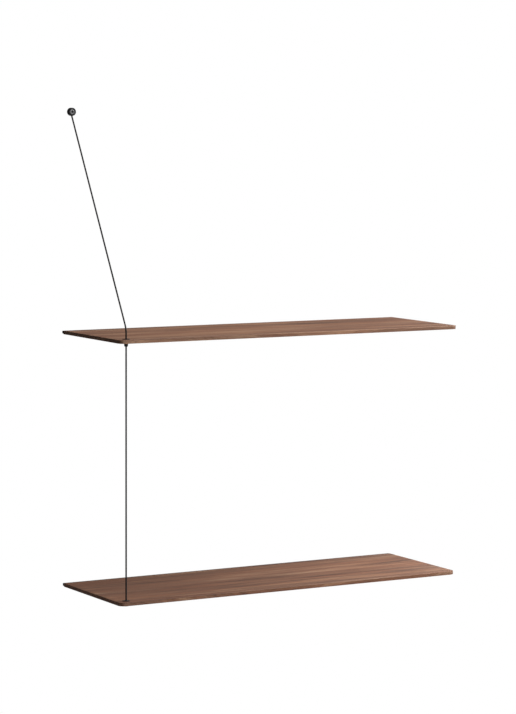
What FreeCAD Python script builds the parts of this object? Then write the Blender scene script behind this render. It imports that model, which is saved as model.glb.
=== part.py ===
import FreeCAD, Part
import math
import os

V = FreeCAD.Vector

# A two-board wall shelf. Each thin board is screwed to a slim wall rail along its back edge, and
# its front left corner hangs on one coated wire that runs down from a round wall knob.
# Frame: +X to the right along the wall, +Y into the wall, +Z up, millimetres. The wall is the
# plane y = 0, and the origin lies on it, at the middle of the upper rail's row of screw holes.

# Overall sizes
shelf_length = 600.0
shelf_depth = 200.0
board_spacing = 394.0
wire_from_left = 15.5
wire_from_front = 13.0
knob_above_upper = 336.0

# Boards: a core between two face veneers, square at the edges and round at the front corners
board_thickness = 5.5
veneer_thickness = 0.6
corner_radius = 10.0
arris_rounding = 0.4

# Wall rail: a strip as long as the board, with two legs that are cut back at both ends
strip_depth = 5.0
strip_height = 4.0
strip_drop = 0.5
rail_end_gap = 0.5
leg_inset = 80.0
shelf_leg_depth = 30.0
shelf_leg_thickness = 2.0
wall_leg_thickness = 2.5
wall_leg_bottom = 18.0
leg_fillet = 2.0

# Holes in the rail for wall screws, placed each side of the middle
wall_screw_drop = 13.2
wall_hole_offsets = (60.0, 180.0)
wall_hole_radius = 2.1
wall_sink_radius = 3.8

# Screws that hold the board on the rail
rail_screw_count = 5
rail_screw_pitch = 100.0
rail_screw_setback = 20.0
rail_screw_radius = 1.45
rail_screw_length = 5.3
rail_head_radius = 2.7
rail_tip_radius = 0.3
rail_socket_width = 2.0
rail_socket_depth = 1.0

# Suspension wire and its two bends
wire_radius = 1.25
knob_bend_radius = 10.0
board_bend_radius = 26.0
board_bend_height = 16.0
wire_stand_off = 3.1
wire_above_knob = 3.8
knob_bend_drop = 2.0
wire_end_recess = 0.3

# Bushes, washers and stops on the wire
bush_flange_radius = 5.75
bush_flange_height = 0.9
bush_rounding = 0.4
bush_stem_radius = 2.5
running_clearance = 0.05
seat_clearance = 0.02
washer_radius = 4.0
washer_thickness = 0.6
washer_bore_radius = 1.6
collar_radius = 3.0
collar_height = 4.8
collar_straight = 2.8
collar_tip_radius = 1.9
grub_radius = 1.0
grub_drop = 1.6
grub_socket_width = 0.9
grub_socket_depth = 0.8
grub_recess = 0.1
end_stop_radius = 3.5
end_stop_height = 1.8
end_stop_edge = 0.9

# Wall knob: a base disc, a cap that screws over it, and a socket screw that clamps the wire
knob_radius = 6.25
knob_depth = 7.0
knob_rounding = 1.2
base_radius = 5.0
base_thickness = 1.8
base_sink_radius = 3.3
cavity_depth = 4.7
clamp_radius = 3.95
clamp_recess = 0.4
clamp_chamfer = 0.5
clamp_tip_radius = 2.5
clamp_socket_width = 4.0
clamp_socket_depth = 1.5
slot_radius = 1.55
slot_lean = 20.0
slot_stand_off = 3.2
slot_drop = 3.9
slot_length = 4.0

# Rounds in which the angle of the wire's upper bend is worked out
settling_rounds = 20

upper_top = wall_screw_drop
lower_top = upper_top - board_spacing
wire_x = -shelf_length / 2 + wire_from_left
wire_y = -shelf_depth + wire_from_front
knob_z = upper_top + knob_above_upper

OUT_OF_WALL = V(0, -1, 0)
UP = V(0, 0, 1)


def cylinder(radius, length, base, direction=UP):
    return Part.makeCylinder(radius, length, base, direction)


def hex_prism(width, length, base, direction=UP):
    """A prism with six sides, width across its flats, that grows from base along direction."""
    corner = width / math.sqrt(3)
    points = [V(corner * math.cos(math.radians(60 * i)), corner * math.sin(math.radians(60 * i)), 0)
              for i in range(7)]
    prism = Part.Face(Part.makePolygon(points)).extrude(V(0, 0, length))
    return turned(prism, base, direction)


def turned(shape, base, direction):
    """Takes a shape that stands on the origin along +Z to base, with its axis along direction."""
    shape.Placement = FreeCAD.Placement(base, FreeCAD.Rotation(UP, direction))
    return shape


def revolved(edges, base, direction=UP):
    """A turned piece: a closed outline of (radius, height) edges spun about direction."""
    solid = Part.Face(Part.Wire(edges)).revolve(V(0, 0, 0), UP, 360)
    return turned(Part.Solid(solid.Shells[0]), base, direction)


def profile(points):
    """Edges of an outline in the radius and height plane. A point of three values marks the
    middle of an arc that runs from the point before it to the point after it."""
    edges = []
    for index, point in enumerate(points):
        after = points[(index + 1) % len(points)]
        if len(point) == 3:
            before = points[index - 1]
            edges.append(Part.Arc(V(before[0], 0, before[1]), V(point[0], 0, point[1]),
                                  V(after[0], 0, after[1])).toShape())
        elif len(after) == 2:
            edges.append(Part.LineSegment(V(point[0], 0, point[1]),
                                          V(after[0], 0, after[1])).toShape())
    return edges


def round_corner(centre_r, centre_h, radius, degrees):
    """The middle point of a quarter round, for profile()."""
    angle = math.radians(degrees)
    return (centre_r + radius * math.cos(angle), centre_h + radius * math.sin(angle), "arc")


def countersink(mouth_radius, hole_radius, base, direction):
    """A right-angled countersink whose mouth lies at base and that narrows along direction."""
    return Part.makeCone(mouth_radius, hole_radius, mouth_radius - hole_radius, base, direction)


def board_outline(height):
    """The board's plan, square at the back and round at the two front corners."""
    half = shelf_length / 2
    back, front = -strip_depth, -shelf_depth
    diagonal = corner_radius * math.sqrt(0.5)
    left, right = -half + corner_radius, half - corner_radius
    turn = front + corner_radius
    return Part.Wire([
        Part.LineSegment(V(-half, back, height), V(half, back, height)).toShape(),
        Part.LineSegment(V(half, back, height), V(half, turn, height)).toShape(),
        Part.Arc(V(half, turn, height), V(right + diagonal, turn - diagonal, height),
                 V(right, front, height)).toShape(),
        Part.LineSegment(V(right, front, height), V(left, front, height)).toShape(),
        Part.Arc(V(left, front, height), V(left - diagonal, turn - diagonal, height),
                 V(-half, turn, height)).toShape(),
        Part.LineSegment(V(-half, turn, height), V(-half, back, height)).toShape(),
    ])


def rail_screw_places():
    first = -rail_screw_pitch * (rail_screw_count - 1) / 2
    return [first + rail_screw_pitch * i for i in range(rail_screw_count)]


def softened(blank):
    """Rounds the board's top and bottom arrises a little along its front and ends."""
    level = 0.01
    rim = [edge for edge in blank.Edges
           if edge.BoundBox.ZLength < level and edge.BoundBox.YMin < -shelf_depth / 2]
    return blank.makeFillet(arris_rounding, rim)


def board_blank(top):
    """The whole board before it is split into its layers, bored for the wire bush and drilled
    from below for the rail screws."""
    bottom = top - board_thickness
    blank = Part.Face(board_outline(bottom)).extrude(V(0, 0, board_thickness))
    blank = softened(blank)
    blank = blank.cut(cylinder(bush_stem_radius + seat_clearance, board_thickness,
                               V(wire_x, wire_y, bottom)))
    pilot_depth = rail_screw_length - shelf_leg_thickness
    for x in rail_screw_places():
        blank = blank.cut(cylinder(rail_screw_radius + seat_clearance, pilot_depth,
                                   V(x, -rail_screw_setback, bottom)))
    return blank


def layer(blank, low, high):
    """The slice of a board between two heights."""
    margin = 1.0
    slab = Part.makeBox(shelf_length + 2 * margin, shelf_depth + 2 * margin, high - low,
                        V(-shelf_length / 2 - margin, -shelf_depth - margin, low))
    return blank.common(slab)


def board_layers(top):
    blank = board_blank(top)
    bottom = top - board_thickness
    return {
        "board_core": layer(blank, bottom + veneer_thickness, top - veneer_thickness),
        "top_veneer": layer(blank, top - veneer_thickness, top),
        "bottom_veneer": layer(blank, bottom, bottom + veneer_thickness),
    }


def rail_section(top):
    """The rail's full section in the YZ plane, at x = 0: strip, shelf leg and wall leg."""
    shelf_side = top - board_thickness
    under = shelf_side - shelf_leg_thickness
    low = top - wall_leg_bottom
    high = top - strip_drop
    curl_y = -wall_leg_thickness - leg_fillet
    curl_z = under - leg_fillet
    diagonal = leg_fillet * math.sqrt(0.5)
    corners = [V(0, -wall_leg_thickness, low), V(0, 0, low), V(0, 0, high), V(0, -strip_depth, high),
               V(0, -strip_depth, shelf_side), V(0, -shelf_leg_depth, shelf_side),
               V(0, -shelf_leg_depth, under), V(0, curl_y, under)]
    edges = [Part.LineSegment(a, b).toShape() for a, b in zip(corners, corners[1:])]
    edges.append(Part.Arc(V(0, curl_y, under), V(0, curl_y + diagonal, curl_z + diagonal),
                          V(0, -wall_leg_thickness, curl_z)).toShape())
    edges.append(Part.LineSegment(V(0, -wall_leg_thickness, curl_z), corners[0]).toShape())
    return Part.Face(Part.Wire(edges))


def wall_rail(top):
    strip_length = shelf_length - 2 * rail_end_gap
    leg_length = shelf_length - 2 * leg_inset
    strip = Part.makeBox(strip_length, strip_depth, strip_height,
                         V(-strip_length / 2, -strip_depth, top - strip_drop - strip_height))
    legs = rail_section(top).extrude(V(leg_length, 0, 0))
    legs.translate(V(-leg_length / 2, 0, 0))
    rail = strip.fuse(legs).removeSplitter()
    under = top - board_thickness - shelf_leg_thickness
    hole_radius = rail_screw_radius + seat_clearance
    for x in rail_screw_places():
        place = V(x, -rail_screw_setback, under)
        rail = rail.cut(cylinder(hole_radius, shelf_leg_thickness, place))
        rail = rail.cut(countersink(rail_head_radius + seat_clearance, hole_radius, place, UP))
    for side in (-1, 1):
        for offset in wall_hole_offsets:
            place = V(side * offset, -wall_leg_thickness, top - wall_screw_drop)
            rail = rail.cut(cylinder(wall_hole_radius, wall_leg_thickness, place, V(0, 1, 0)))
            rail = rail.cut(countersink(wall_sink_radius, wall_hole_radius, place, V(0, 1, 0)))
    return rail


def rail_screw(x, top):
    """A countersunk wood screw with a six-sided socket, driven upwards."""
    place = V(x, -rail_screw_setback, top - board_thickness - shelf_leg_thickness)
    shank = cylinder(rail_screw_radius, rail_screw_length - rail_screw_radius, place)
    tip = Part.makeCone(rail_screw_radius, rail_tip_radius, rail_screw_radius,
                        place + V(0, 0, rail_screw_length - rail_screw_radius))
    head = countersink(rail_head_radius, rail_screw_radius, place, UP)
    screw = shank.fuse([tip, head])
    return screw.cut(hex_prism(rail_socket_width, rail_socket_depth, place)).removeSplitter()


def wire_bush(top):
    """A flanged bush that lines the board's hole, with its flange on the top face."""
    bore = wire_radius + running_clearance
    rounded = bush_rounding
    high = bush_flange_height
    outline = profile([
        (bore, -board_thickness),
        (bush_stem_radius, -board_thickness),
        (bush_stem_radius, 0),
        (bush_flange_radius, 0),
        (bush_flange_radius, high - rounded),
        round_corner(bush_flange_radius - rounded, high - rounded, rounded, 45),
        (bush_flange_radius - rounded, high),
        (bore + rounded, high),
        (bore, high - rounded),
    ])
    return revolved(outline, V(wire_x, wire_y, top))


def support_washer(top):
    """The washer that spreads the load of a stop on the board's underside."""
    under = top - board_thickness - washer_thickness
    washer = cylinder(washer_radius, washer_thickness, V(wire_x, wire_y, under))
    return washer.cut(cylinder(washer_bore_radius, washer_thickness, V(wire_x, wire_y, under)))


def stop_collar():
    """The collar that carries the upper board: round, tapered below, with a radial grub screw."""
    high = upper_top - board_thickness - washer_thickness - running_clearance
    bore = wire_radius + running_clearance
    chamfer = 0.3
    bulge = 0.2
    outline = profile([
        (bore, 0),
        (collar_radius - chamfer, 0),
        (collar_radius, -chamfer),
        (collar_radius, -collar_straight),
        ((collar_radius + collar_tip_radius) / 2 + bulge,
         -(collar_straight + collar_height) / 2, "arc"),
        (collar_tip_radius, -collar_height),
        (bore, -collar_height),
    ])
    collar = revolved(outline, V(wire_x, wire_y, high))
    hole = cylinder(grub_radius + seat_clearance, collar_radius + 1,
                    V(wire_x, wire_y, high - grub_drop), V(0, 1, 0))
    return collar.cut(hole)


def collar_grub_screw():
    """The grub screw faces the wall, out of sight, with its tip just off the wire."""
    high = upper_top - board_thickness - washer_thickness - running_clearance - grub_drop
    start = wire_radius + running_clearance
    length = collar_radius - start - grub_recess
    place = V(wire_x, wire_y + start, high)
    grub = cylinder(grub_radius, length, place, V(0, 1, 0))
    socket = hex_prism(grub_socket_width, grub_socket_depth,
                       place + V(0, length - grub_socket_depth, 0), V(0, 1, 0))
    return grub.cut(socket)


def end_stop():
    """The stop crimped on the wire's lower end, domed below."""
    high = lower_top - board_thickness - washer_thickness
    bore = wire_radius + seat_clearance
    dome = 0.2
    outline = profile([
        (bore, 0),
        (end_stop_radius, 0),
        (end_stop_radius, -end_stop_edge),
        ((end_stop_radius + bore) / 2 + dome, -(end_stop_edge + end_stop_height) / 2 - dome, "arc"),
        (bore, -end_stop_height),
    ])
    return revolved(outline, V(wire_x, wire_y, high))


def wire_route():
    """Corner points of the wire's route and the radius of its bend at each inner corner. The
    upper bend's angle and place depend on each other, so they are settled in a few rounds.

    The wire starts inside the knob, leaves it downwards, runs straight to a point above the
    upper board's hole and hangs plumb from there to the stop under the lower board."""
    start = V(wire_x, -wire_stand_off, knob_z + wire_above_knob)
    board_corner = V(wire_x, wire_y, upper_top + board_bend_height)
    stop_end = lower_top - board_thickness - washer_thickness - end_stop_height
    end = V(wire_x, wire_y, stop_end + wire_end_recess)
    bend_start = knob_z - knob_bend_drop
    angle = math.radians(30)
    for _ in range(settling_rounds):
        drop = knob_bend_radius * math.tan(angle / 2)
        angle = math.atan2(-wire_stand_off - wire_y, bend_start - drop - board_corner.z)
    knob_corner = V(wire_x, -wire_stand_off, bend_start - drop)
    return [start, knob_corner, board_corner, end], [knob_bend_radius, board_bend_radius]


def wire_path():
    """Straight runs joined by tangent arcs, in one wire."""
    points, radii = wire_route()
    edges = []
    here = points[0]
    for corner, after, radius in zip(points[1:], points[2:], radii):
        arriving = (corner - here).normalize()
        leaving = (after - corner).normalize()
        turn = arriving.getAngle(leaving)
        tangent = radius * math.tan(turn / 2)
        enter = corner - arriving * tangent
        leave = corner + leaving * tangent
        inwards = (leaving - arriving).normalize()
        centre = corner + inwards * (radius / math.cos(turn / 2))
        edges.append(Part.LineSegment(here, enter).toShape())
        edges.append(Part.Arc(enter, centre - inwards * radius, leave).toShape())
        print("wire bend: radius %.1f mm, turn %.1f degrees" % (radius, math.degrees(turn)))
        here = leave
    edges.append(Part.LineSegment(here, points[-1]).toShape())
    return Part.Wire(edges)


def suspension_wire():
    path = wire_path()
    start = path.Edges[0].Vertexes[0].Point
    circle = Part.Wire(Part.Circle(start, V(0, 0, -1), wire_radius).toShape())
    tube = path.makePipeShell([circle], True, False)
    section = math.pi * wire_radius ** 2
    print("wire: length %.1f mm, volume over section times length %.4f"
          % (path.Length, tube.Volume / (section * path.Length)))
    return tube


def knob_place(out):
    return V(wire_x, -out, knob_z)


def knob_base():
    """The disc that a countersunk screw holds on the wall."""
    sink = base_sink_radius - wall_hole_radius
    outline = profile([
        (wall_hole_radius, 0),
        (base_radius, 0),
        (base_radius, base_thickness),
        (base_sink_radius, base_thickness),
        (wall_hole_radius, base_thickness - sink),
    ])
    return revolved(outline, knob_place(0), OUT_OF_WALL)


def wire_slot():
    """The wire's way out of the cap, along the middle of its bend."""
    lean = math.radians(slot_lean)
    inner = V(wire_x, -slot_stand_off, knob_z - slot_drop)
    return cylinder(slot_radius, slot_length, inner, V(0, -math.sin(lean), -math.cos(lean)))


def knob_cap():
    """The round cap, hollow behind, threaded inside for the clamp screw."""
    bore = clamp_radius + running_clearance
    skirt = base_radius + seat_clearance
    front = knob_depth
    chamfer = 0.35
    outline = profile([
        (skirt, 0),
        (knob_radius, 0),
        (knob_radius, front - knob_rounding),
        round_corner(knob_radius - knob_rounding, front - knob_rounding, knob_rounding, 45),
        (knob_radius - knob_rounding, front),
        (bore + chamfer, front),
        (bore, front - chamfer),
        (bore, cavity_depth),
        (skirt, cavity_depth),
    ])
    return revolved(outline, knob_place(0), OUT_OF_WALL).cut(wire_slot())


def knob_clamp_screw():
    """A wide socket screw in the cap, whose tip holds the wire against the wall screw's head."""
    front = knob_depth - clamp_recess
    tip = wire_stand_off + wire_radius + running_clearance
    outline = profile([
        (0, tip),
        (clamp_tip_radius, tip),
        (clamp_tip_radius, cavity_depth),
        (clamp_radius, cavity_depth),
        (clamp_radius, front - clamp_chamfer),
        (clamp_radius - clamp_chamfer, front),
        (0, front),
    ])
    screw = revolved(outline, knob_place(0), OUT_OF_WALL)
    socket = hex_prism(clamp_socket_width, clamp_socket_depth,
                       knob_place(front - clamp_socket_depth), OUT_OF_WALL)
    return screw.cut(socket)


def all_nodes():
    nodes = {}
    for name, top in (("upper", upper_top), ("lower", lower_top)):
        for piece, shape in board_layers(top).items():
            nodes[name + "_" + piece] = shape
        nodes[name + "_wall_rail"] = wall_rail(top)
        screws = [rail_screw(x, top) for x in rail_screw_places()]
        nodes[name + "_rail_screws"] = Part.makeCompound(screws)
        nodes[name + "_wire_bush"] = wire_bush(top)
        nodes[name + "_support_washer"] = support_washer(top)
    nodes["upper_stop_collar"] = stop_collar()
    nodes["collar_grub_screw"] = collar_grub_screw()
    nodes["lower_end_stop"] = end_stop()
    nodes["suspension_wire"] = suspension_wire()
    nodes["knob_base"] = knob_base()
    nodes["knob_cap"] = knob_cap()
    nodes["knob_clamp_screw"] = knob_clamp_screw()
    return nodes


os.makedirs("parts", exist_ok=True)
for node, shape in all_nodes().items():
    shape.exportStep("parts/" + node + ".step")
    print(node, "valid" if shape.isValid() else "NOT VALID", "solids", len(shape.Solids),
          "volume %.2f mm3" % shape.Volume)
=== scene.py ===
import math

import bpy
from bpy.props import FloatProperty, FloatVectorProperty, IntProperty, PointerProperty
from mathutils import Matrix, Vector


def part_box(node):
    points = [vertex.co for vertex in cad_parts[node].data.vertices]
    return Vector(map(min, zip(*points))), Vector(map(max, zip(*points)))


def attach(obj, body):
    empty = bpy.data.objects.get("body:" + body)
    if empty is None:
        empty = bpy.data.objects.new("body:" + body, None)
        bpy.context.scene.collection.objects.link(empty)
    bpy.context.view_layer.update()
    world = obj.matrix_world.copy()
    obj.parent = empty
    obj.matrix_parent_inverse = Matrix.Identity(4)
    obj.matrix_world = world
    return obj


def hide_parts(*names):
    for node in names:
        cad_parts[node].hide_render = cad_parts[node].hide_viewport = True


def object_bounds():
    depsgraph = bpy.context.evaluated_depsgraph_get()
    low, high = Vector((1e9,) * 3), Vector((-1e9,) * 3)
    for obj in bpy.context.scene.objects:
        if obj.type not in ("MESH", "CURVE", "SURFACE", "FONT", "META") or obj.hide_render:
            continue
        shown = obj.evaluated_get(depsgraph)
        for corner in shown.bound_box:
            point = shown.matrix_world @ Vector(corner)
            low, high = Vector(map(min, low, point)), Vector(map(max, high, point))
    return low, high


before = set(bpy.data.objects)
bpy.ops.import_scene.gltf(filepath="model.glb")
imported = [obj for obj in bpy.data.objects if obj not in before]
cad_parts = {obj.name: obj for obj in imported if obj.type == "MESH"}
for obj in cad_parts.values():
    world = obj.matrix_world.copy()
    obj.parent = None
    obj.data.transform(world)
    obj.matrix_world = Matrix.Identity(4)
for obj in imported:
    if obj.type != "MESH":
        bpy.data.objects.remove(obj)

bl_info = {
    "name": "Hung wall shelf",
    "version": (1, 0, 0),
    "blender": (4, 5, 0),
    "location": "3D View > Sidebar > Wall shelf",
    "description": "Walnut boards, wall rails, hanging wire and wall knob of a two-board shelf",
    "category": "Object",
}

CAD_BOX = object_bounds()
MM = 0.001
MERGE_DISTANCE = 0.002 * MM
FLAT_ANGLE = math.radians(0.5)
CUTTER_SIDES = 48
FINE_SHARE = 0.5


# ---------------- settings

class BoardSettings(bpy.types.PropertyGroup):
    """Walnut of the boards."""
    mid_brown: FloatVectorProperty(
        name="Mid brown", description="Main colour of the veneer", subtype="COLOR",
        size=3, min=0, max=1, default=(0.190, 0.095, 0.057))
    dark_brown: FloatVectorProperty(
        name="Dark brown", description="Colour of the late wood streaks", subtype="COLOR",
        size=3, min=0, max=1, default=(0.085, 0.041, 0.026))
    light_brown: FloatVectorProperty(
        name="Light brown", description="Colour of the pale streaks", subtype="COLOR",
        size=3, min=0, max=1, default=(0.310, 0.182, 0.112))
    streak_width: FloatProperty(
        name="Streak width", description="Typical width of a grain streak across the board",
        subtype="DISTANCE", unit="LENGTH", min=0.002, max=0.1, default=0.018)
    sheen_roughness: FloatProperty(
        name="Roughness", description="Roughness of the oiled face", min=0, max=1, default=0.46)


class MetalSettings(bpy.types.PropertyGroup):
    """Black fittings, rails and plain steel."""
    black: FloatVectorProperty(
        name="Black", description="Colour of the black plated fittings", subtype="COLOR",
        size=3, min=0, max=1, default=(0.008, 0.008, 0.0085))
    steel: FloatVectorProperty(
        name="Steel", description="Colour of the dark plated screws", subtype="COLOR",
        size=3, min=0, max=1, default=(0.17, 0.17, 0.175))
    clamp: FloatVectorProperty(
        name="Clamp screw", description="Colour of the clamp screw's fine-turned face",
        subtype="COLOR", size=3, min=0, max=1, default=(0.24, 0.24, 0.245))


class WireSettings(bpy.types.PropertyGroup):
    """Twisted strands under the wire's coating."""
    lay: FloatProperty(
        name="Lay", description="Length of wire in which its strands turn once",
        subtype="DISTANCE", unit="LENGTH", min=0.005, max=0.1, default=0.014)
    strands: IntProperty(
        name="Strands", description="Outer strands that show through the coating",
        min=3, max=12, default=6)
    strand_relief: FloatProperty(
        name="Strand relief", description="Depth of the valleys between the strands",
        subtype="DISTANCE", unit="LENGTH", min=0.0, max=0.0005, default=0.00005)
    knob_bend_radius: FloatProperty(
        name="Knob bend", description="Radius of the bend where the wire leaves the knob",
        subtype="DISTANCE", unit="LENGTH", default=0.010)
    board_bend_radius: FloatProperty(
        name="Board bend", description="Radius of the bend above the upper board",
        subtype="DISTANCE", unit="LENGTH", default=0.026)
    board_bend_height: FloatProperty(
        name="Bend height", description="Height of the bend's corner above the upper board",
        subtype="DISTANCE", unit="LENGTH", default=0.016)


class FittingSettings(bpy.types.PropertyGroup):
    """Small turned fittings on the wire and on the wall."""
    edge_bevel: FloatProperty(
        name="Edge bevel", description="Broken edge of a turned fitting",
        subtype="DISTANCE", unit="LENGTH", default=0.00012)
    rail_bevel: FloatProperty(
        name="Rail bevel", description="Softness that the coating gives to the rail's edges",
        subtype="DISTANCE", unit="LENGTH", default=0.00025)
    segments: IntProperty(
        name="Segments", description="Sides of a turned fitting", min=16, max=256, default=72)


class StageSettings(bpy.types.PropertyGroup):
    """Floor, lights and camera."""
    floor_drop: FloatProperty(
        name="Floor drop", description="Height of the lower board above the floor",
        subtype="DISTANCE", unit="LENGTH", min=0.2, max=3, default=0.85)
    camera_azimuth: FloatProperty(
        name="Azimuth", description="Side from which the shelf is seen, 0 from the front",
        subtype="ANGLE", unit="ROTATION", default=math.radians(-29.784))
    camera_elevation: FloatProperty(
        name="Elevation", description="Height of the camera above the horizon",
        subtype="ANGLE", unit="ROTATION", default=math.radians(5.338))
    camera_roll: FloatProperty(
        name="Roll", description="Turn of the camera about its own line of sight",
        subtype="ANGLE", unit="ROTATION", default=math.radians(0.25))
    camera_distance: FloatProperty(
        name="Distance", description="From the camera to the shelf's middle",
        subtype="DISTANCE", unit="LENGTH", min=0.5, max=20, default=4.322)
    camera_lens: FloatProperty(
        name="Lens", description="Focal length in millimetres", min=20, max=400, default=139.12)
    aim_right: FloatProperty(
        name="Aim right", description="Offset of the aim from the shelf's middle",
        subtype="DISTANCE", unit="LENGTH", default=-0.00745)
    aim_up: FloatProperty(
        name="Aim up", description="Offset of the aim from the shelf's middle",
        subtype="DISTANCE", unit="LENGTH", default=-0.01075)


# ---------------- places

def span(node):
    """Lowest corner, highest corner and middle of a CAD node at rest."""
    low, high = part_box(node)
    return low, high, (low + high) / 2


def wire_axis():
    """Where the plumb stretch of the wire stands, and the wire's radius."""
    middle = span("upper_wire_bush")[2]
    low, high, _ = span("suspension_wire")
    return middle.x, middle.y, (high.x - low.x) / 2


# ---------------- mesh helpers

OUT_OF_WALL = Vector((0, -1, 0))
UP = Vector((0, 0, 1))


def fresh_selection():
    """Deselects everything."""
    bpy.ops.object.select_all(action="DESELECT")


def pick(piece):
    """Makes piece the only selected object and the active one."""
    fresh_selection()
    piece.select_set(True)
    bpy.context.view_layer.objects.active = piece


def close_up(piece):
    """Merges doubled points and turns every face outwards."""
    pick(piece)
    bpy.ops.object.mode_set(mode="EDIT")
    bpy.ops.mesh.select_all(action="SELECT")
    bpy.ops.mesh.remove_doubles(threshold=MERGE_DISTANCE)
    bpy.ops.mesh.normals_make_consistent(inside=False)
    bpy.ops.object.mode_set(mode="OBJECT")


def from_node(node, name):
    """A piece with a CAD node's shape, in a mesh of its own that is joined up, with each flat
    face in one."""
    piece = bpy.data.objects.new(name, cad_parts[node].data.copy())
    bpy.context.scene.collection.objects.link(piece)
    close_up(piece)
    bpy.ops.object.mode_set(mode="EDIT")
    bpy.ops.mesh.select_all(action="SELECT")
    bpy.ops.mesh.dissolve_limited(angle_limit=FLAT_ANGLE)
    bpy.ops.object.mode_set(mode="OBJECT")
    return piece


def turned(name, rings, segments, bored=False):
    """A piece turned about Z from rings of (radius, height). A solid piece's rings go from its
    lower end to its upper end; a bored piece's go once round its closed section."""
    fresh_selection()
    radius, height = rings[0]
    bpy.ops.mesh.primitive_circle_add(vertices=segments, radius=radius, location=(0, 0, 0),
                                      fill_type="NOTHING" if bored else "NGON")
    piece = bpy.context.object
    piece.name = name
    bpy.ops.object.mode_set(mode="EDIT")
    bpy.ops.mesh.select_all(action="SELECT")
    bpy.ops.transform.translate(value=(0, 0, height))
    for after_radius, after_height in (rings[1:] + rings[:1] if bored else rings[1:]):
        bpy.ops.mesh.extrude_region_move(
            TRANSFORM_OT_translate={"value": (0, 0, after_height - height)})
        factor = after_radius / radius
        bpy.ops.transform.resize(value=(factor, factor, 1),
                                 center_override=(0, 0, after_height))
        radius, height = after_radius, after_height
    bpy.ops.object.mode_set(mode="OBJECT")
    close_up(piece)
    return piece


def arc(centre_radius, centre_height, radius, start, end, steps=6):
    """Rings along a round stretch of a turned piece's outline, angles in degrees from outwards."""
    rings = []
    for index in range(steps + 1):
        angle = math.radians(start + (end - start) * index / steps)
        rings.append((centre_radius + radius * math.cos(angle),
                      centre_height + radius * math.sin(angle)))
    return rings


def apply_modifier(piece, kind, **settings):
    """Puts one modifier on piece and applies it."""
    pick(piece)
    modifier = piece.modifiers.new(kind.lower(), kind)
    for key, value in settings.items():
        setattr(modifier, key, value)
    bpy.ops.object.modifier_apply(modifier=modifier.name)


def break_edges(piece, width, angle=30):
    """Rounds the edges where faces meet at more than angle degrees."""
    apply_modifier(piece, "BEVEL", width=width, segments=2, limit_method="ANGLE",
                   angle_limit=math.radians(angle), use_clamp_overlap=True)


def weigh_normals(piece):
    """Keeps flat faces flat beside the smooth rounding at their edges."""
    apply_modifier(piece, "WEIGHTED_NORMAL", keep_sharp=True, weight=100)


def smooth(piece, angle=32):
    """Shades piece smooth, apart from edges sharper than angle degrees."""
    pick(piece)
    bpy.ops.object.shade_smooth_by_angle(angle=math.radians(angle))


def cut(piece, cutter):
    """Takes cutter's shape out of piece and removes cutter."""
    apply_modifier(piece, "BOOLEAN", operation="DIFFERENCE", solver="EXACT", object=cutter)
    pick(cutter)
    bpy.ops.object.delete()


def sink_socket(piece, width, depth, face):
    """A socket for a hexagon key in the upper face of a piece that stands along Z."""
    fresh_selection()
    bpy.ops.mesh.primitive_cylinder_add(vertices=6, radius=width / math.sqrt(3), depth=depth * 2,
                                        location=(0, 0, face))
    cut(piece, bpy.context.object)


def stand(piece, place, axis=UP):
    """Turns a piece that stands on the origin along Z to an axis and carries it to its place."""
    turn = UP.rotation_difference(axis).to_matrix().to_4x4()
    piece.matrix_world = Matrix.Translation(place) @ turn
    pick(piece)
    bpy.ops.object.transform_apply(location=True, rotation=True, scale=True)


def hand_over(piece, node, body, material):
    """Says which CAD node a finished piece stands for, what it rides on and its finish."""
    paint(piece, material)
    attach(piece, body)
    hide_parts(node)


# ---------------- node helpers

FLOAT, COLOR, VECTOR = "NodeSocketFloat", "NodeSocketColor", "NodeSocketVector"


def node_group(name, inputs, outputs):
    """A shader node group with float or colour sockets. Returns the group, its input and output."""
    group = bpy.data.node_groups.new(name, "ShaderNodeTree")
    for label, kind, default in inputs:
        socket = group.interface.new_socket(name=label, in_out="INPUT", socket_type=kind)
        if default is not None:
            socket.default_value = default
    for label, kind in outputs:
        group.interface.new_socket(name=label, in_out="OUTPUT", socket_type=kind)
    return group, group.nodes.new("NodeGroupInput"), group.nodes.new("NodeGroupOutput")


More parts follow.
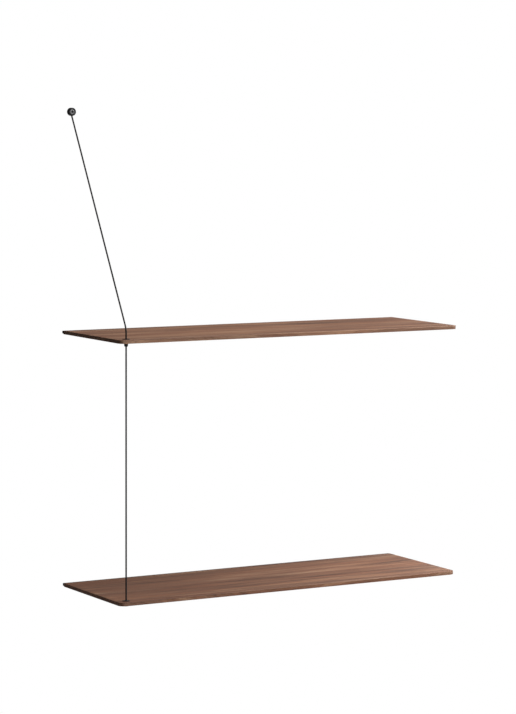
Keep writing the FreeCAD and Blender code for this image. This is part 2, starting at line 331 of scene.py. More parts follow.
class Tree:
    """Short calls for adding and joining nodes in one node tree."""

    def __init__(self, tree):
        self.tree = tree

    def add(self, kind, inputs=None, **settings):
        """A new node with its settings and its inputs."""
        node = self.tree.nodes.new(kind)
        for key, value in settings.items():
            setattr(node, key, value)
        for key, value in (inputs or {}).items():
            self.feed(node.inputs[key], value)
        return node

    def feed(self, socket, value):
        """Joins socket to another socket, or sets it to a value."""
        if isinstance(value, bpy.types.NodeSocket):
            self.tree.links.new(value, socket)
        else:
            socket.default_value = value

    def math(self, operation, first, second=0.0):
        return self.add("ShaderNodeMath", {0: first, 1: second}, operation=operation).outputs[0]

    def times(self, first, second):
        return self.math("MULTIPLY", first, second)

    def plus(self, first, second):
        return self.math("ADD", first, second)

    def ramp(self, value, low, high, to_low=0.0, to_high=1.0):
        """An eased step: to_low below low, to_high above high."""
        return self.add("ShaderNodeMapRange", {"Value": value, "From Min": low, "From Max": high,
                                               "To Min": to_low, "To Max": to_high},
                        interpolation_type="SMOOTHSTEP").outputs["Result"]

    def mix(self, factor, first, second, blend="MIX"):
        """Two colours mixed by factor."""
        node = self.add("ShaderNodeMix", data_type="RGBA", blend_type=blend)
        self.feed(node.inputs["Factor"], factor)
        self.feed(node.inputs[6], first)
        self.feed(node.inputs[7], second)
        return node.outputs[2]

    def stretch(self, vector, scale):
        """A place scaled along each axis."""
        return self.add("ShaderNodeVectorMath", {0: vector, 1: scale},
                        operation="MULTIPLY").outputs[0]

    def noise(self, vector, detail=3.0, roughness=0.5):
        return self.add("ShaderNodeTexNoise", {"Vector": vector, "Scale": 1.0, "Detail": detail,
                                               "Roughness": roughness}).outputs["Fac"]

    def facing(self, axis):
        """How much the surface faces along an axis."""
        normal = self.add("ShaderNodeNewGeometry").outputs["Normal"]
        return self.add("ShaderNodeSeparateXYZ", {0: normal}).outputs[axis]


def new_material(name, **constants):
    """A material with a Principled shader whose constant sockets are set by name."""
    material = bpy.data.materials.new(name)
    material.use_nodes = True
    shader = material.node_tree.nodes["Principled BSDF"]
    for key, value in constants.items():
        shader.inputs[key.replace("_", " ")].default_value = value
    return material, Tree(material.node_tree), shader


def object_place(tree):
    """The place on the piece, in metres, on which every pattern lies."""
    return tree.add("ShaderNodeTexCoord").outputs["Object"]


# ---------------- shared groups

def walnut_group():
    """Straight walnut grain along X: broad bands, figure, fibres, pores and mineral streaks."""
    group, start, end = node_group("walnut_grain", [
        ("Place", VECTOR, None),
        ("Mid", COLOR, (0.2, 0.12, 0.08, 1)),
        ("Dark", COLOR, (0.1, 0.05, 0.035, 1)),
        ("Light", COLOR, (0.3, 0.2, 0.13, 1)),
        ("Streak width", FLOAT, 0.018),
        ("Roughness base", FLOAT, 0.45),
    ], [("Color", COLOR), ("Roughness", FLOAT), ("Height", FLOAT)])
    t = Tree(group)
    place = start.outputs["Place"]
    inverse = t.math("DIVIDE", 1.0, start.outputs["Streak width"])

    # The grain drifts sideways slowly along the board
    drift = t.noise(t.stretch(place, (1.7, 5.0, 5.0)), detail=1.0)
    drift = t.times(t.math("SUBTRACT", drift, 0.5), 0.060)
    split = t.add("ShaderNodeSeparateXYZ", {0: place})
    across = t.plus(split.outputs["Y"], drift)
    line = t.add("ShaderNodeCombineXYZ", {"X": split.outputs["X"], "Y": across,
                                          "Z": split.outputs["Z"]}).outputs[0]

    def streaks(along, sideways, detail, roughness):
        """Noise with so many changes along a metre and so many across a streak's width."""
        scaled = t.add("ShaderNodeCombineXYZ", {
            "X": t.times(split.outputs["X"], along),
            "Y": t.times(across, t.times(inverse, sideways)),
            "Z": t.times(split.outputs["Z"], 60.0)}).outputs[0]
        return t.noise(scaled, detail=detail, roughness=roughness)

    bands = streaks(along=2.6, sideways=0.80, detail=2.0, roughness=0.5)
    figure = streaks(along=7.0, sideways=2.6, detail=3.0, roughness=0.6)
    fibres = streaks(along=16.0, sideways=14.0, detail=3.0, roughness=0.65)
    patches = streaks(along=3.4, sideways=1.3, detail=2.0, roughness=0.5)
    pores = t.noise(t.stretch(line, (95.0, 1900.0, 400.0)), detail=1.0)
    pore_mask = t.ramp(pores, 0.60, 0.72)
    mineral = t.ramp(t.noise(t.stretch(line, (4.0, 120.0, 60.0)), detail=2.0), 0.66, 0.80)

    # One tone runs from dark through mid to light wood, warmer in patches
    tone = t.plus(t.times(bands, 0.42), t.times(figure, 0.36))
    tone = t.plus(tone, t.times(fibres, 0.22))
    color = t.mix(t.ramp(tone, 0.37, 0.50), start.outputs["Dark"], start.outputs["Mid"])
    color = t.mix(t.ramp(tone, 0.50, 0.61), color, start.outputs["Light"])
    warmth = t.ramp(patches, 0.36, 0.64)
    color = t.mix(t.times(warmth, 0.55), color,
                  t.mix(1.0, color, (1.16, 0.90, 0.76, 1), "MULTIPLY"))
    color = t.mix(t.times(pore_mask, 0.40), color, start.outputs["Dark"])
    color = t.mix(t.times(mineral, 0.45), color, (0.050, 0.030, 0.026, 1))

    # End grain drinks more oil, so it is darker; this darkening of faces that turn toward X is also
    # painted shade on the board ends
    end_grain_and_shade = t.ramp(t.math("ABSOLUTE", t.facing("X")), 0.35, 0.85)
    color = t.mix(t.times(end_grain_and_shade, 0.50), color,
                  t.mix(1.0, color, (0.34, 0.28, 0.24, 1), "MULTIPLY"))

    rough = t.plus(start.outputs["Roughness base"], t.times(fibres, 0.10))
    rough = t.plus(rough, t.times(pore_mask, 0.12))
    height = t.math("SUBTRACT", t.times(fibres, 0.5), pore_mask)
    for label, value in (("Color", color), ("Roughness", rough), ("Height", height)):
        t.feed(end.inputs[label], value)
    return group


def handled_group():
    """Smudges, fine specks and settled dust on a small hard surface."""
    group, start, end = node_group("handled_surface", [
        ("Place", VECTOR, None),
        ("Base", COLOR, (0.02, 0.02, 0.02, 1)),
        ("Dust", COLOR, (0.30, 0.29, 0.27, 1)),
        ("Speck size", FLOAT, 0.0006),
        ("Dust amount", FLOAT, 0.06),
        ("Roughness base", FLOAT, 0.35),
    ], [("Color", COLOR), ("Roughness", FLOAT), ("Height", FLOAT)])
    t = Tree(group)
    inverse = t.math("DIVIDE", 1.0, start.outputs["Speck size"])
    scaled = t.add("ShaderNodeVectorMath", {0: start.outputs["Place"], "Scale": inverse},
                   operation="SCALE").outputs[0]
    specks = t.noise(scaled, detail=2.0)

    # Dust settles on what faces up, less where it has been wiped
    smudge = t.noise(t.stretch(start.outputs["Place"], (70.0, 70.0, 70.0)), detail=2.0)
    settled = t.times(t.ramp(t.facing("Z"), 0.2, 1.0), t.ramp(smudge, 0.35, 0.75, 0.35, 1.0))
    amount = t.times(t.times(settled, start.outputs["Dust amount"]),
                    t.ramp(specks, 0.3, 0.7, 0.5, 1.3))
    color = t.mix(amount, start.outputs["Base"], start.outputs["Dust"])
    rough = t.plus(start.outputs["Roughness base"], t.times(smudge, 0.12))
    rough = t.plus(rough, t.times(amount, 0.5))
    for label, value in (("Color", color), ("Roughness", rough), ("Height", specks)):
        t.feed(end.inputs[label], value)
    return group


def use_group(tree, group, shader, bump_distance, **inputs):
    """Places a group in a material and joins its outputs to the shader."""
    node = tree.add("ShaderNodeGroup", node_tree=group)
    for key, value in inputs.items():
        tree.feed(node.inputs[key.replace("_", " ")], value)
    tree.feed(shader.inputs["Base Color"], node.outputs["Color"])
    tree.feed(shader.inputs["Roughness"], node.outputs["Roughness"])
    bump = tree.add("ShaderNodeBump", {"Height": node.outputs["Height"], "Strength": 0.35,
                                       "Distance": bump_distance})
    tree.feed(shader.inputs["Normal"], bump.outputs[0])
    return node


# ---------------- materials

def rgba(color, gain=1.0):
    return (color[0] * gain, color[1] * gain, color[2] * gain, 1.0)


def walnut_material(name, group, settings, shift, gain=1.0, streak=1.0):
    """Oiled walnut. shift moves the pattern, so that no two faces look the same."""
    material, tree, shader = new_material(name, IOR=1.48, Specular_IOR_Level=0.42)
    mapping = tree.add("ShaderNodeMapping", {"Vector": object_place(tree), "Location": shift})
    use_group(tree, group, shader, 0.06 * MM,
              Place=mapping.outputs[0],
              Mid=rgba(settings.mid_brown, gain),
              Dark=rgba(settings.dark_brown, gain),
              Light=rgba(settings.light_brown, gain),
              Streak_width=settings.streak_width * streak,
              Roughness_base=settings.sheen_roughness)
    return material


def black_material(name, group, color, roughness, speck, bump, gloss, dust):
    """A black coating or plating with a fine texture."""
    material, tree, shader = new_material(name, IOR=1.5, Specular_IOR_Level=gloss)
    use_group(tree, group, shader, bump,
              Place=object_place(tree), Base=rgba(color), Speck_size=speck,
              Dust_amount=dust, Roughness_base=roughness)
    return material


def steel_material(name, group, color, roughness):
    """Plain turned steel."""
    material, tree, shader = new_material(name, Metallic=1.0)
    use_group(tree, group, shader, 0.01 * MM,
              Place=object_place(tree), Base=rgba(color), Speck_size=0.0004,
              Dust_amount=0.02, Roughness_base=roughness)
    return material


def clamp_material(group, color):
    """Fine-turned steel with turning marks round the knob's axis, and painted shade that darkens
    the socket.
    """
    marks_per_metre = 42000.0
    socket_edge = (1.95 * MM, 2.15 * MM)
    socket_shade = 0.06
    material, tree, shader = new_material("clamp_steel", Metallic=0.45)
    place = object_place(tree)
    node = use_group(tree, group, shader, 0.01 * MM, Place=place, Base=rgba(color),
                     Speck_size=0.0004, Dust_amount=0.02, Roughness_base=0.40)
    axis = span("knob_clamp_screw")[2]
    spoke = tree.add("ShaderNodeVectorMath", {0: place, 1: tuple(axis)},
                     operation="SUBTRACT").outputs[0]
    away = tree.add("ShaderNodeVectorMath", {0: tree.stretch(spoke, (1.0, 0.0, 1.0))},
                    operation="LENGTH").outputs["Value"]
    turning = tree.math("SINE", tree.times(away, marks_per_metre))
    marks = tree.ramp(turning, -1.0, 1.0, 0.90, 1.0)
    # Painted shade: inside the hex socket the face's colour drops to socket_shade, standing in for
    # the shade in that recess
    painted_socket_shade = tree.ramp(away, *socket_edge, socket_shade, 1.0)
    shade = tree.times(marks, painted_socket_shade)
    grey = tree.add("ShaderNodeCombineColor", {0: shade, 1: shade, 2: shade}).outputs[0]
    tree.feed(shader.inputs["Base Color"],
              tree.mix(1.0, node.outputs["Color"], grey, "MULTIPLY"))
    return material


MATERIALS = {}


def make_materials(scene):
    board, metal = scene.shelf_boards, scene.shelf_metal
    walnut, handled = walnut_group(), handled_group()
    for face, shift in (("upper_top", (0.3, 0.07, 0.0)), ("upper_bottom", (1.9, 0.41, 0.1)),
                        ("lower_top", (3.1, 0.95, 0.2)), ("lower_bottom", (4.3, 1.37, 0.3))):
        MATERIALS[face] = walnut_material("walnut_" + face, walnut, board, shift)
    MATERIALS["edge"] = walnut_material("walnut_edge", walnut, board, (5.7, 1.9, 0.0),
                                        gain=0.88, streak=0.35)
    MATERIALS["rail"] = black_material("rail_black", handled, metal.black, 0.50, 0.0005,
                                       0.03 * MM, gloss=0.40, dust=0.03)
    MATERIALS["fitting"] = black_material("fitting_black", handled, metal.black, 0.36, 0.0003,
                                          0.004 * MM, gloss=0.30, dust=0.02)
    MATERIALS["wire"] = black_material("wire_coating", handled, metal.black, 0.46, 0.0003,
                                       0.006 * MM, gloss=0.22, dust=0.01)
    MATERIALS["steel"] = steel_material("screw_steel", handled, metal.steel, 0.30)
    MATERIALS["clamp"] = clamp_material(handled, metal.clamp)
    MATERIALS["washer"] = steel_material("washer_steel", handled, (0.35, 0.35, 0.36), 0.35)


def paint(piece, material):
    """Gives a piece one material."""
    slots = piece.data.materials
    slots.clear()
    slots.append(material)


# ---------------- operators

class SHELF_OT_boards(bpy.types.Operator):
    """Add the boards, each a core between two face veneers"""
    bl_idname = "shelf.boards"
    bl_label = "Boards"

    def execute(self, context):
        for board in ("upper", "lower"):
            self.layer(board + "_top_veneer", board + "_top", "walnut_face", board + "_top")
            self.layer(board + "_bottom_veneer", board + "_underside", "walnut_face",
                       board + "_bottom")
            self.layer(board + "_board_core", board + "_core", "walnut_edge", "edge")
        return {"FINISHED"}

    def layer(self, node, name, slot, material):
        """One layer of a board."""
        layer = from_node(node, name)
        smooth(layer)
        weigh_normals(layer)
        hand_over(layer, node, "shelf", MATERIALS[material])


class SHELF_OT_rails(bpy.types.Operator):
    """Add the coated wall rails"""
    bl_idname = "shelf.rails"
    bl_label = "Wall rails"

    def execute(self, context):
        for board in ("upper", "lower"):
            node = board + "_wall_rail"
            rail = from_node(node, board + "_rail")
            break_edges(rail, context.scene.shelf_fittings.rail_bevel, angle=35)
            smooth(rail)
            weigh_normals(rail)
            hand_over(rail, node, "shelf", MATERIALS["rail"])
        return {"FINISHED"}


class SHELF_OT_rail_screws(bpy.types.Operator):
    """Add the countersunk screws that hold the boards on the rails"""
    bl_idname = "shelf.rail_screws"
    bl_label = "Rail screws"

    pitch = 100 * MM
    count = 5
    head = 2.7 * MM
    shank = 1.45 * MM
    tip = 0.3 * MM
    socket_width = 2.0 * MM
    socket_depth = 1.0 * MM
    bevel_share = 0.6

    def execute(self, context):
        for board in ("upper", "lower"):
            low, high, middle = span(board + "_rail_screws")
            model = self.screw(high.z - low.z, context.scene.shelf_fittings)
            screws = [model]
            for _ in range(self.count - 1):
                copy = model.copy()
                copy.data = model.data.copy()
                context.scene.collection.objects.link(copy)
                screws.append(copy)
            for index, screw in enumerate(screws):
                x = (index - (self.count - 1) / 2) * self.pitch
                stand(screw, (x, middle.y, low.z), -UP)
            pick(model)
            for screw in screws:
                screw.select_set(True)
            bpy.ops.object.join()
            model.name = board + "_screws"
            hand_over(model, board + "_rail_screws", "shelf", MATERIALS["steel"])
        return {"FINISHED"}

    def screw(self, length, fittings):
        """A screw that points down from the origin, where its head's face is."""
        rings = [(self.tip, -length), (self.shank, -length + self.shank),
                 (self.shank, self.shank - self.head), (self.head, 0)]
        screw = turned("screw", rings, fittings.segments)
        sink_socket(screw, self.socket_width, self.socket_depth, 0)
        break_edges(screw, fittings.edge_bevel * self.bevel_share)
        smooth(screw)
        return screw


class SHELF_OT_wire(bpy.types.Operator):
    """Add the coated wire that runs from the knob to the stop under the lower board"""
    bl_idname = "shelf.wire"
    bl_label = "Wire"

    knob_bend_drop = 2 * MM
    longest_run = 50 * MM
    stations_per_turn = 20
    points_per_strand = 6
    settling_rounds = 20
    first_turn = 0.5

    def execute(self, context):
        settings = context.scene.shelf_wire
        points = self.route(settings)
        section = self.section(settings)
        bpy.ops.curve.primitive_bezier_curve_add()
        wire = bpy.context.object
        wire.name = "coated_wire"
        spline = wire.data.splines[0]
        spline.bezier_points.add(len(points) - 2)
        spline.tilt_interpolation = "LINEAR"
        travelled = 0.0
        for knot, (place, before, after, length) in zip(spline.bezier_points, points):
            travelled += length
            knot.handle_left_type = knot.handle_right_type = "FREE"
            knot.co = place
            knot.handle_left = place - before
            knot.handle_right = place + after
            knot.tilt = 2 * math.pi * travelled / settings.lay
        turns_per_run = self.longest_run / settings.lay
        wire.data.resolution_u = round(turns_per_run * self.stations_per_turn)
        wire.data.twist_mode = "MINIMUM"
        wire.data.bevel_mode = "OBJECT"
        wire.data.bevel_object = section
        wire.data.use_fill_caps = True
        pick(wire)
        bpy.ops.object.convert(target="MESH")
        pick(section)
        bpy.ops.object.delete()
        close_up(wire)
        smooth(wire, angle=60)
        hand_over(wire, "suspension_wire", "shelf", MATERIALS["wire"])
        return {"FINISHED"}

    def section(self, settings):
        """The wire's lobed outline, one gentle lobe to a strand."""
        radius = wire_axis()[2]
        count = settings.strands * self.points_per_strand
        curve = bpy.data.curves.new("wire_section", "CURVE")
        outline = curve.splines.new("POLY")
        outline.points.add(count - 1)
        outline.use_cyclic_u = True
        for index, point in enumerate(outline.points):
            angle = 2 * math.pi * index / count
            lobe = abs(math.cos(settings.strands * angle / 2))
            reach = radius - settings.strand_relief * (1 - lobe)
            point.co = (reach * math.cos(angle), reach * math.sin(angle), 0, 1)
        section = bpy.data.objects.new("wire_section", curve)
        bpy.context.scene.collection.objects.link(section)
        return section

    def route(self, settings):
        """Points of the wire's line, each with its two handles and its distance from the last:
        down out of the knob, straight to a corner above the upper board, then plumb. The turn
        and the knob's corner depend on each other, so they are settled in a few rounds."""
        low, high, _ = span("suspension_wire")
        x, y, radius = wire_axis()
        knob_z = span("knob_cap")[2].z
        out = high.y - radius
        top = Vector((x, out, high.z))
        end = Vector((x, y, low.z))
        board_corner = Vector((x, y, span("upper_top_veneer")[1].z + settings.board_bend_height))
        turn = self.first_turn
        for _ in range(self.settling_rounds):
            drop = settings.knob_bend_radius * math.tan(turn / 2)
            knob_corner = Vector((x, out, knob_z - self.knob_bend_drop - drop))
            slant = (board_corner - knob_corner).normalized()
            turn = slant.angle(-UP)
        stations = [top]
        bend_at = {}
        for corner, bend, arriving, leaving in (
                (knob_corner, settings.knob_bend_radius, -UP, slant),
                (board_corner, settings.board_bend_radius, slant, -UP)):
            tangent = bend * math.tan(turn / 2)
            bend_at[len(stations)] = bend
            stations += [corner - arriving * tangent, corner + leaving * tangent]
        stations.append(end)
        points = [[stations[0], Vector(), Vector(), 0.0]]
        for index, (here, there) in enumerate(zip(stations, stations[1:])):
            if index in bend_at:
                arriving = -UP if index == 1 else slant
                leaving = slant if index == 1 else -UP
                handle = 4 / 3 * math.tan(turn / 4) * bend_at[index]
                points[-1][2] = arriving * handle
                points.append([there, leaving * handle, Vector(), bend_at[index] * turn])
                continue
            runs = max(1, math.ceil((there - here).length / self.longest_run))
            step = (there - here) / runs
            for number in range(1, runs + 1):
                points[-1][2] = step / 3
                points.append([here + step * number, step / 3, Vector(), step.length])
        return points


class SHELF_OT_bushes(bpy.types.Operator):
    """Add the flanged bushes in the boards and the washers under them"""
    bl_idname = "shelf.bushes"
    bl_label = "Bushes and washers"

    stem = 2.5 * MM
    rim_rounding = 0.35 * MM
    crown = 0.12 * MM
    mouth = 0.35 * MM
    mouth_share = 1.5
    rim_sweep = 80
    clearance = 0.05 * MM
    foot_chamfer = 0.1 * MM
    washer_bore = 1.6 * MM

    def execute(self, context):
        fittings = context.scene.shelf_fittings
        x, y, wire_radius = wire_axis()
        for board in ("upper", "lower"):
            top = span(board + "_top_veneer")[1].z
            low, high, _ = span(board + "_wire_bush")
            bush = self.bush(wire_radius + self.clearance, (high.x - low.x) / 2, high.z - top,
                             top - low.z, fittings)
            stand(bush, (x, y, top))
            bush.name = board + "_bush"
            hand_over(bush, board + "_wire_bush", "shelf", MATERIALS["fitting"])

            low, high, _ = span(board + "_support_washer")
            washer = turned(board + "_washer", [
                (self.washer_bore, 0), ((high.x - low.x) / 2, 0),
                ((high.x - low.x) / 2, high.z - low.z), (self.washer_bore, high.z - low.z),
            ], fittings.segments, bored=True)
            break_edges(washer, fittings.edge_bevel)
            smooth(washer)
            stand(washer, (x, y, low.z))
            hand_over(washer, board + "_support_washer", "shelf",
                      MATERIALS["washer"])
        return {"FINISHED"}

    def bush(self, bore, flange, height, depth, fittings):
        """A bush whose flange rests on the board, slightly crowned and round at its rim."""
        rounding = self.rim_rounding
        rim = height - self.crown - rounding
        rings = [(bore, -depth), (self.stem, -depth), (self.stem, 0),
                 (flange - self.foot_chamfer, 0), (flange, self.foot_chamfer)]
        rings += arc(flange - rounding, rim, rounding, 0, self.rim_sweep)
        rings += [(bore + self.mouth_share * self.mouth, height)]
        rings += arc(bore + self.mouth, height - self.mouth, self.mouth, 90, 180)
        bush = turned("bush", rings, fittings.segments, bored=True)
        smooth(bush)
        return bush


class SHELF_OT_stops(bpy.types.Operator):
    """Add the collar and its grub screw under the upper board and the stop on the wire's end"""
    bl_idname = "shelf.stops"
    bl_label = "Collar and end stop"

    straight = 2.8 * MM
    tip = 1.9 * MM
    clearance = 0.05 * MM
    taper_steps = 7
    taper_swell = 0.2 * MM
    collar_chamfer = 0.3 * MM
    grub_drop = 1.6 * MM
    grub_gap = 0.02 * MM
    grub_point = 0.35 * MM
    socket_width = 0.9 * MM
    socket_depth = 0.8 * MM
    stop_edge = 0.9 * MM
    dome_steps = 6
    crimp_width = 0.3 * MM
    crimp_share = 0.25

    def execute(self, context):
        fittings = context.scene.shelf_fittings
        x, y, wire_radius = wire_axis()
        bore = wire_radius + self.clearance
        self.collar(fittings, x, y, bore)
        self.grub_screw(fittings, x)
        self.end_stop(fittings, x, y, wire_radius + self.clearance / 2)
        return {"FINISHED"}

    def collar(self, fittings, x, y, bore):
        """The collar, tapered below, with the side hole of its grub screw."""
        low, high, _ = span("upper_stop_collar")
        radius = (high.x - low.x) / 2
        height = high.z - low.z
        chamfer = self.collar_chamfer
        taper_high = height - self.straight
        rings = [(bore, 0), (self.tip, 0)]
        for step in range(1, self.taper_steps):
            share = step / self.taper_steps
            swell = math.sin(share * math.pi) * self.taper_swell
            rings.append((self.tip + (radius - self.tip) * share + swell, taper_high * share))
        rings += [(radius, taper_high), (radius, height - chamfer), (radius - chamfer, height),
                  (bore + chamfer / 2, height), (bore, height - chamfer / 2)]
        collar = turned("collar", rings, fittings.segments, bored=True)
        grub = span("collar_grub_screw")
        fresh_selection()
        bpy.ops.mesh.primitive_cylinder_add(
            vertices=CUTTER_SIDES, radius=(grub[1].x - grub[0].x) / 2 + self.grub_gap,
            depth=2 * radius)
        side_hole = bpy.context.object
        stand(side_hole, (0, radius, height - self.grub_drop), -OUT_OF_WALL)
        cut(collar, side_hole)
        break_edges(collar, fittings.edge_bevel * FINE_SHARE, angle=40)
        smooth(collar, angle=28)
        stand(collar, (x, y, low.z))
        hand_over(collar, "upper_stop_collar", "stop_collar",
                  MATERIALS["fitting"])

    def grub_screw(self, fittings, x):
        """The small socket screw in the collar's side, facing the wall."""
        low, high, middle = span("collar_grub_screw")
        radius = (high.x - low.x) / 2
        length = high.y - low.y
        point = self.grub_point
        grub = turned("grub_screw", [(radius - point, 0), (radius, point), (radius, length)],
                      fittings.segments)
        sink_socket(grub, self.socket_width, self.socket_depth, length)
        break_edges(grub, fittings.edge_bevel * FINE_SHARE)
        smooth(grub)
        stand(grub, (x, low.y, middle.z), -OUT_OF_WALL)
        hand_over(grub, "collar_grub_screw", "collar_screw", MATERIALS["steel"])

    def end_stop(self, fittings, x, y, bore):
        """The stop under the lower board, domed below and crimped in round the wire."""
        low, high, _ = span("lower_end_stop")
        radius = (high.x - low.x) / 2
        height = high.z - low.z
        dome = height - self.stop_edge
        inner = bore + self.crimp_width
        rings = [(bore, dome * self.crimp_share)]
        for step in range(self.dome_steps + 1):
            angle = math.radians(90 * step / self.dome_steps)
            rings.append((inner + (radius - inner) * math.sin(angle),
                          dome * (1 - math.cos(angle))))
        rings += [(radius, height), (bore, height)]
        stop = turned("end_stop", rings, fittings.segments, bored=True)
        break_edges(stop, fittings.edge_bevel, angle=40)
        smooth(stop)
        stand(stop, (x, y, low.z))
        hand_over(stop, "lower_end_stop", "shelf", MATERIALS["fitting"])


class SHELF_OT_knob(bpy.types.Operator):
    """Add the wall knob: its base disc, its cap and its clamp screw"""
    bl_idname = "shelf.knob"
    bl_label = "Wall knob"

    wall_hole = 2.1 * MM
    wall_sink = 3.3 * MM
    skirt = 5.02 * MM
    cavity = 4.7 * MM
    cap_bore = 4.0 * MM
    cap_rounding = 1.2 * MM
    foot_chamfer = 0.15 * MM
    lip = 0.3 * MM
    slot = 1.55 * MM
    slot_length = 4 * MM
    slot_out = 3.2 * MM
    slot_drop = 3.9 * MM
    slot_lean = math.radians(20)
    tip = 2.5 * MM
    tip_rounding = (0.3 * MM, 0.15 * MM)
    clamp_chamfer = 0.5 * MM
    socket_width = 4.0 * MM
    socket_depth = 1.5 * MM

    def execute(self, context):
        fittings = context.scene.shelf_fittings
        place = span("knob_cap")[2]
        place.y = 0
        self.base(fittings, place)
        self.cap(fittings, place)
        self.clamp_screw(fittings, place)
        return {"FINISHED"}

    def base(self, fittings, place):
        """The disc on the wall, countersunk for its screw."""
        low, high, _ = span("knob_base")
        radius = (high.x - low.x) / 2
        thickness = high.y - low.y
        sink = self.wall_sink - self.wall_hole
        base = turned("knob_disc", [
            (self.wall_hole, 0), (radius, 0), (radius, thickness), (self.wall_sink, thickness),
            (self.wall_hole, thickness - sink),
        ], fittings.segments, bored=True)
        break_edges(base, fittings.edge_bevel)
        smooth(base)
        stand(base, place, OUT_OF_WALL)
        hand_over(base, "knob_base", "shelf", MATERIALS["fitting"])

    def cap(self, fittings, place):
        """The round cap, hollow behind, with the wire's slot cut through its lower side."""
        low, high, _ = span("knob_cap")
        radius = (high.x - low.x) / 2
        depth = high.y - low.y
        foot, lip = self.foot_chamfer, self.lip
        rings = [(self.skirt, 0), (radius - foot, 0), (radius, foot)]
        rings += arc(radius - self.cap_rounding, depth - self.cap_rounding, self.cap_rounding,
                     0, 90, steps=10)
        rings += arc(self.cap_bore + lip, depth - lip, lip, 90, 180, steps=4)
        rings += [(self.cap_bore, self.cavity), (self.skirt, self.cavity)]
        cap = turned("knob_shell", rings, fittings.segments, bored=True)
        fresh_selection()
        bpy.ops.mesh.primitive_cylinder_add(vertices=CUTTER_SIDES, radius=self.slot,
                                            depth=self.slot_length)
        wire_slot = bpy.context.object
        away = Vector((0, -math.sin(self.slot_lean), -math.cos(self.slot_lean)))
        start = Vector((0, -self.slot_out, -self.slot_drop))
        stand(wire_slot, start + away * self.slot_length / 2, away)
        stand(cap, (0, 0, 0), OUT_OF_WALL)
        cut(cap, wire_slot)
        break_edges(cap, fittings.edge_bevel * FINE_SHARE, angle=40)
        smooth(cap, angle=28)
        stand(cap, place)
        hand_over(cap, "knob_cap", "shelf", MATERIALS["fitting"])

    def clamp_screw(self, fittings, place):
        """The wide socket screw in the cap's face."""
        low, high, _ = span("knob_clamp_screw")
        radius = (high.x - low.x) / 2
        front, back = -low.y, -high.y
        chamfer = self.clamp_chamfer
        narrowing, rise = self.tip_rounding
        screw = turned("clamp_socket_screw", [
            (self.tip - narrowing, back), (self.tip, back + rise), (self.tip, self.cavity),
            (radius, self.cavity), (radius, front - chamfer), (radius - chamfer, front),
        ], fittings.segments)
        sink_socket(screw, self.socket_width, self.socket_depth, front)
        break_edges(screw, fittings.edge_bevel)
        smooth(screw)
        stand(screw, place, OUT_OF_WALL)
        hand_over(screw, "knob_clamp_screw", "clamp_screw", MATERIALS["clamp"])


def area_light(name, place, target, size, power):
    """A square soft light that faces target."""
    data = bpy.data.lights.new(name, "AREA")
    data.shape = "SQUARE"
    data.size = size
    data.energy = power
    light = bpy.data.objects.new(name, data)
    bpy.context.scene.collection.objects.link(light)
    light.location = place
    light.visible_camera = False
    light.rotation_euler = (Vector(target) - Vector(place)).to_track_quat("-Z", "Y").to_euler()


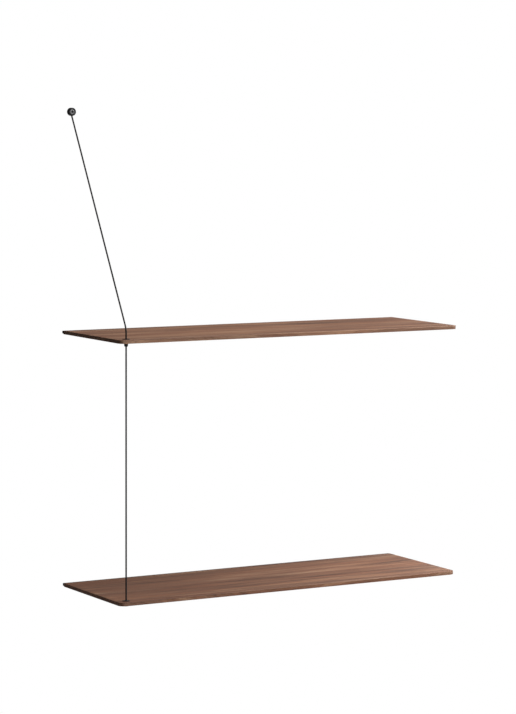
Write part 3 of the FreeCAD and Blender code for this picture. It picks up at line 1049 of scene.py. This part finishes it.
class SHELF_OT_stage(bpy.types.Operator):
    """Add the floor, the soft lights and the camera"""
    bl_idname = "shelf.stage"
    bl_label = "Stage"

    floor_radius = 6.0
    floor_sides = 96
    fade_start = 0.9
    fade_end = 2.4
    dim_side = 0.09
    bright_side = 0.15

    def execute(self, context):
        settings = context.scene.shelf_stage
        low, high = CAD_BOX
        centre = (low + high) / 2
        self.floor(settings, low)
        self.world(context.scene)
        self.lights(centre)
        self.camera(settings, centre)
        context.scene.view_settings.view_transform = "Standard"
        return {"FINISHED"}

    def floor(self, settings, low):
        """A pale round floor that fades out into the white room."""
        fresh_selection()
        bpy.ops.mesh.primitive_circle_add(vertices=self.floor_sides, radius=self.floor_radius,
                                          fill_type="NGON",
                                          location=(0, 0, low.z - settings.floor_drop))
        floor = bpy.context.object
        floor.name = "floor"
        bpy.ops.object.transform_apply(location=True, rotation=False, scale=False)
        material, tree, shader = new_material("floor_pale", Roughness=0.7, Emission_Strength=0.22)
        place = object_place(tree)
        speckle = tree.noise(tree.stretch(place, (9.0, 9.0, 9.0)), detail=3.0)
        pale = tree.mix(speckle, (0.86, 0.86, 0.855, 1), (0.90, 0.90, 0.895, 1))
        tree.feed(shader.inputs["Base Color"], pale)
        tree.feed(shader.inputs["Emission Color"], pale)
        flat = tree.stretch(place, (1.0, 1.0, 0.0))
        reach = tree.add("ShaderNodeVectorMath", {0: flat}, operation="LENGTH").outputs["Value"]
        clear = tree.add("ShaderNodeBsdfTransparent").outputs[0]
        blend = tree.add("ShaderNodeMixShader")
        # Seen from below, the floor lets the underside of the shelf show
        below = tree.add("ShaderNodeNewGeometry").outputs["Backfacing"]
        fade = tree.ramp(reach, self.fade_start, self.fade_end)
        tree.feed(blend.inputs[0], tree.math("MAXIMUM", fade, below))
        tree.feed(blend.inputs[1], shader.outputs[0])
        tree.feed(blend.inputs[2], clear)
        output = material.node_tree.nodes["Material Output"]
        tree.feed(output.inputs["Surface"], blend.outputs[0])
        paint(floor, material)

    def world(self, scene):
        """A white backdrop for the eye, and a dim room, brighter to the right, for the light."""
        world = bpy.data.worlds.new("studio")
        world.use_nodes = True
        scene.world = world
        tree = Tree(world.node_tree)
        backdrop = world.node_tree.nodes["Background"]
        backdrop.inputs["Color"].default_value = (1, 1, 1, 1)
        backdrop.inputs["Strength"].default_value = 1.0
        way = tree.add("ShaderNodeTexCoord").outputs["Generated"]
        side = tree.add("ShaderNodeSeparateXYZ", {0: way}).outputs["X"]
        strength = tree.ramp(side, -0.9, 0.9, self.dim_side, self.bright_side)
        room = tree.add("ShaderNodeBackground", {"Color": (1, 1, 1, 1), "Strength": strength})
        seen = tree.add("ShaderNodeLightPath").outputs["Is Camera Ray"]
        choice = tree.add("ShaderNodeMixShader")
        tree.feed(choice.inputs[0], seen)
        tree.feed(choice.inputs[1], room.outputs[0])
        tree.feed(choice.inputs[2], backdrop.outputs[0])
        tree.feed(world.node_tree.nodes["World Output"].inputs["Surface"], choice.outputs[0])

    def lights(self, centre):
        """A key and a fill for the whole shelf, and three that brighten the boards' right ends."""
        upper_end, lower_end, between = (0.28, -0.1, 0.0), (0.28, -0.1, -0.4), (0.3, -0.1, -0.2)
        area_light("key_light", (1.3, -1.4, 1.9), centre, size=1.4, power=84.0)
        area_light("front_fill", (-0.6, -3.1, 0.5), centre, size=1.6, power=26.0)
        area_light("upper_end_light", (0.85, -0.15, 0.55), upper_end, size=0.5, power=5.0)
        area_light("lower_end_light", (0.70, -0.3, -0.2), lower_end, size=0.25, power=2.2)
        area_light("sheen_light", (1.9, 1.25, 0.25), between, size=0.6, power=8.0)

    def camera(self, settings, centre):
        """A camera at its angle and distance, aimed beside the shelf's middle by the offsets."""
        azimuth, elevation = settings.camera_azimuth, settings.camera_elevation
        ahead = Vector((-math.sin(azimuth) * math.cos(elevation),
                        math.cos(azimuth) * math.cos(elevation), -math.sin(elevation)))
        right = ahead.cross(Vector((0, 0, 1))).normalized()
        up = right.cross(ahead)
        aim = centre + right * settings.aim_right + up * settings.aim_up
        turn = Matrix.Rotation(-settings.camera_roll, 3, ahead)
        axes = Matrix((turn @ right, turn @ up, -ahead)).transposed()
        data = bpy.data.cameras.new("camera")
        data.lens = settings.camera_lens
        camera = bpy.data.objects.new("camera", data)
        bpy.context.scene.collection.objects.link(camera)
        camera.matrix_world = (Matrix.Translation(aim - ahead * settings.camera_distance)
                               @ axes.to_4x4())
        bpy.context.scene.camera = camera


class SHELF_PT_panel(bpy.types.Panel):
    """Lists the steps that build the shelf"""
    bl_idname = "SHELF_PT_panel"
    bl_label = "Wall shelf"
    bl_space_type = "VIEW_3D"
    bl_region_type = "UI"
    bl_category = "Wall shelf"

    def draw(self, context):
        for operator in OPERATORS:
            self.layout.operator(operator.bl_idname)


SETTINGS = {"shelf_boards": BoardSettings, "shelf_metal": MetalSettings,
            "shelf_wire": WireSettings, "shelf_fittings": FittingSettings,
            "shelf_stage": StageSettings}
OPERATORS = (SHELF_OT_boards, SHELF_OT_rails, SHELF_OT_rail_screws, SHELF_OT_wire,
             SHELF_OT_bushes, SHELF_OT_stops, SHELF_OT_knob, SHELF_OT_stage)
CLASSES = (*SETTINGS.values(), *OPERATORS, SHELF_PT_panel)


def register():
    for item in CLASSES:
        bpy.utils.register_class(item)
    for name, group in SETTINGS.items():
        setattr(bpy.types.Scene, name, PointerProperty(type=group))


def unregister():
    for name in SETTINGS:
        delattr(bpy.types.Scene, name)
    for item in reversed(CLASSES):
        bpy.utils.unregister_class(item)


def main():
    """Builds the shelf and its stage."""
    register()
    make_materials(bpy.context.scene)
    for operator in OPERATORS:
        group, name = operator.bl_idname.split(".")
        getattr(getattr(bpy.ops, group), name)()


if __name__ == "__main__":
    main()
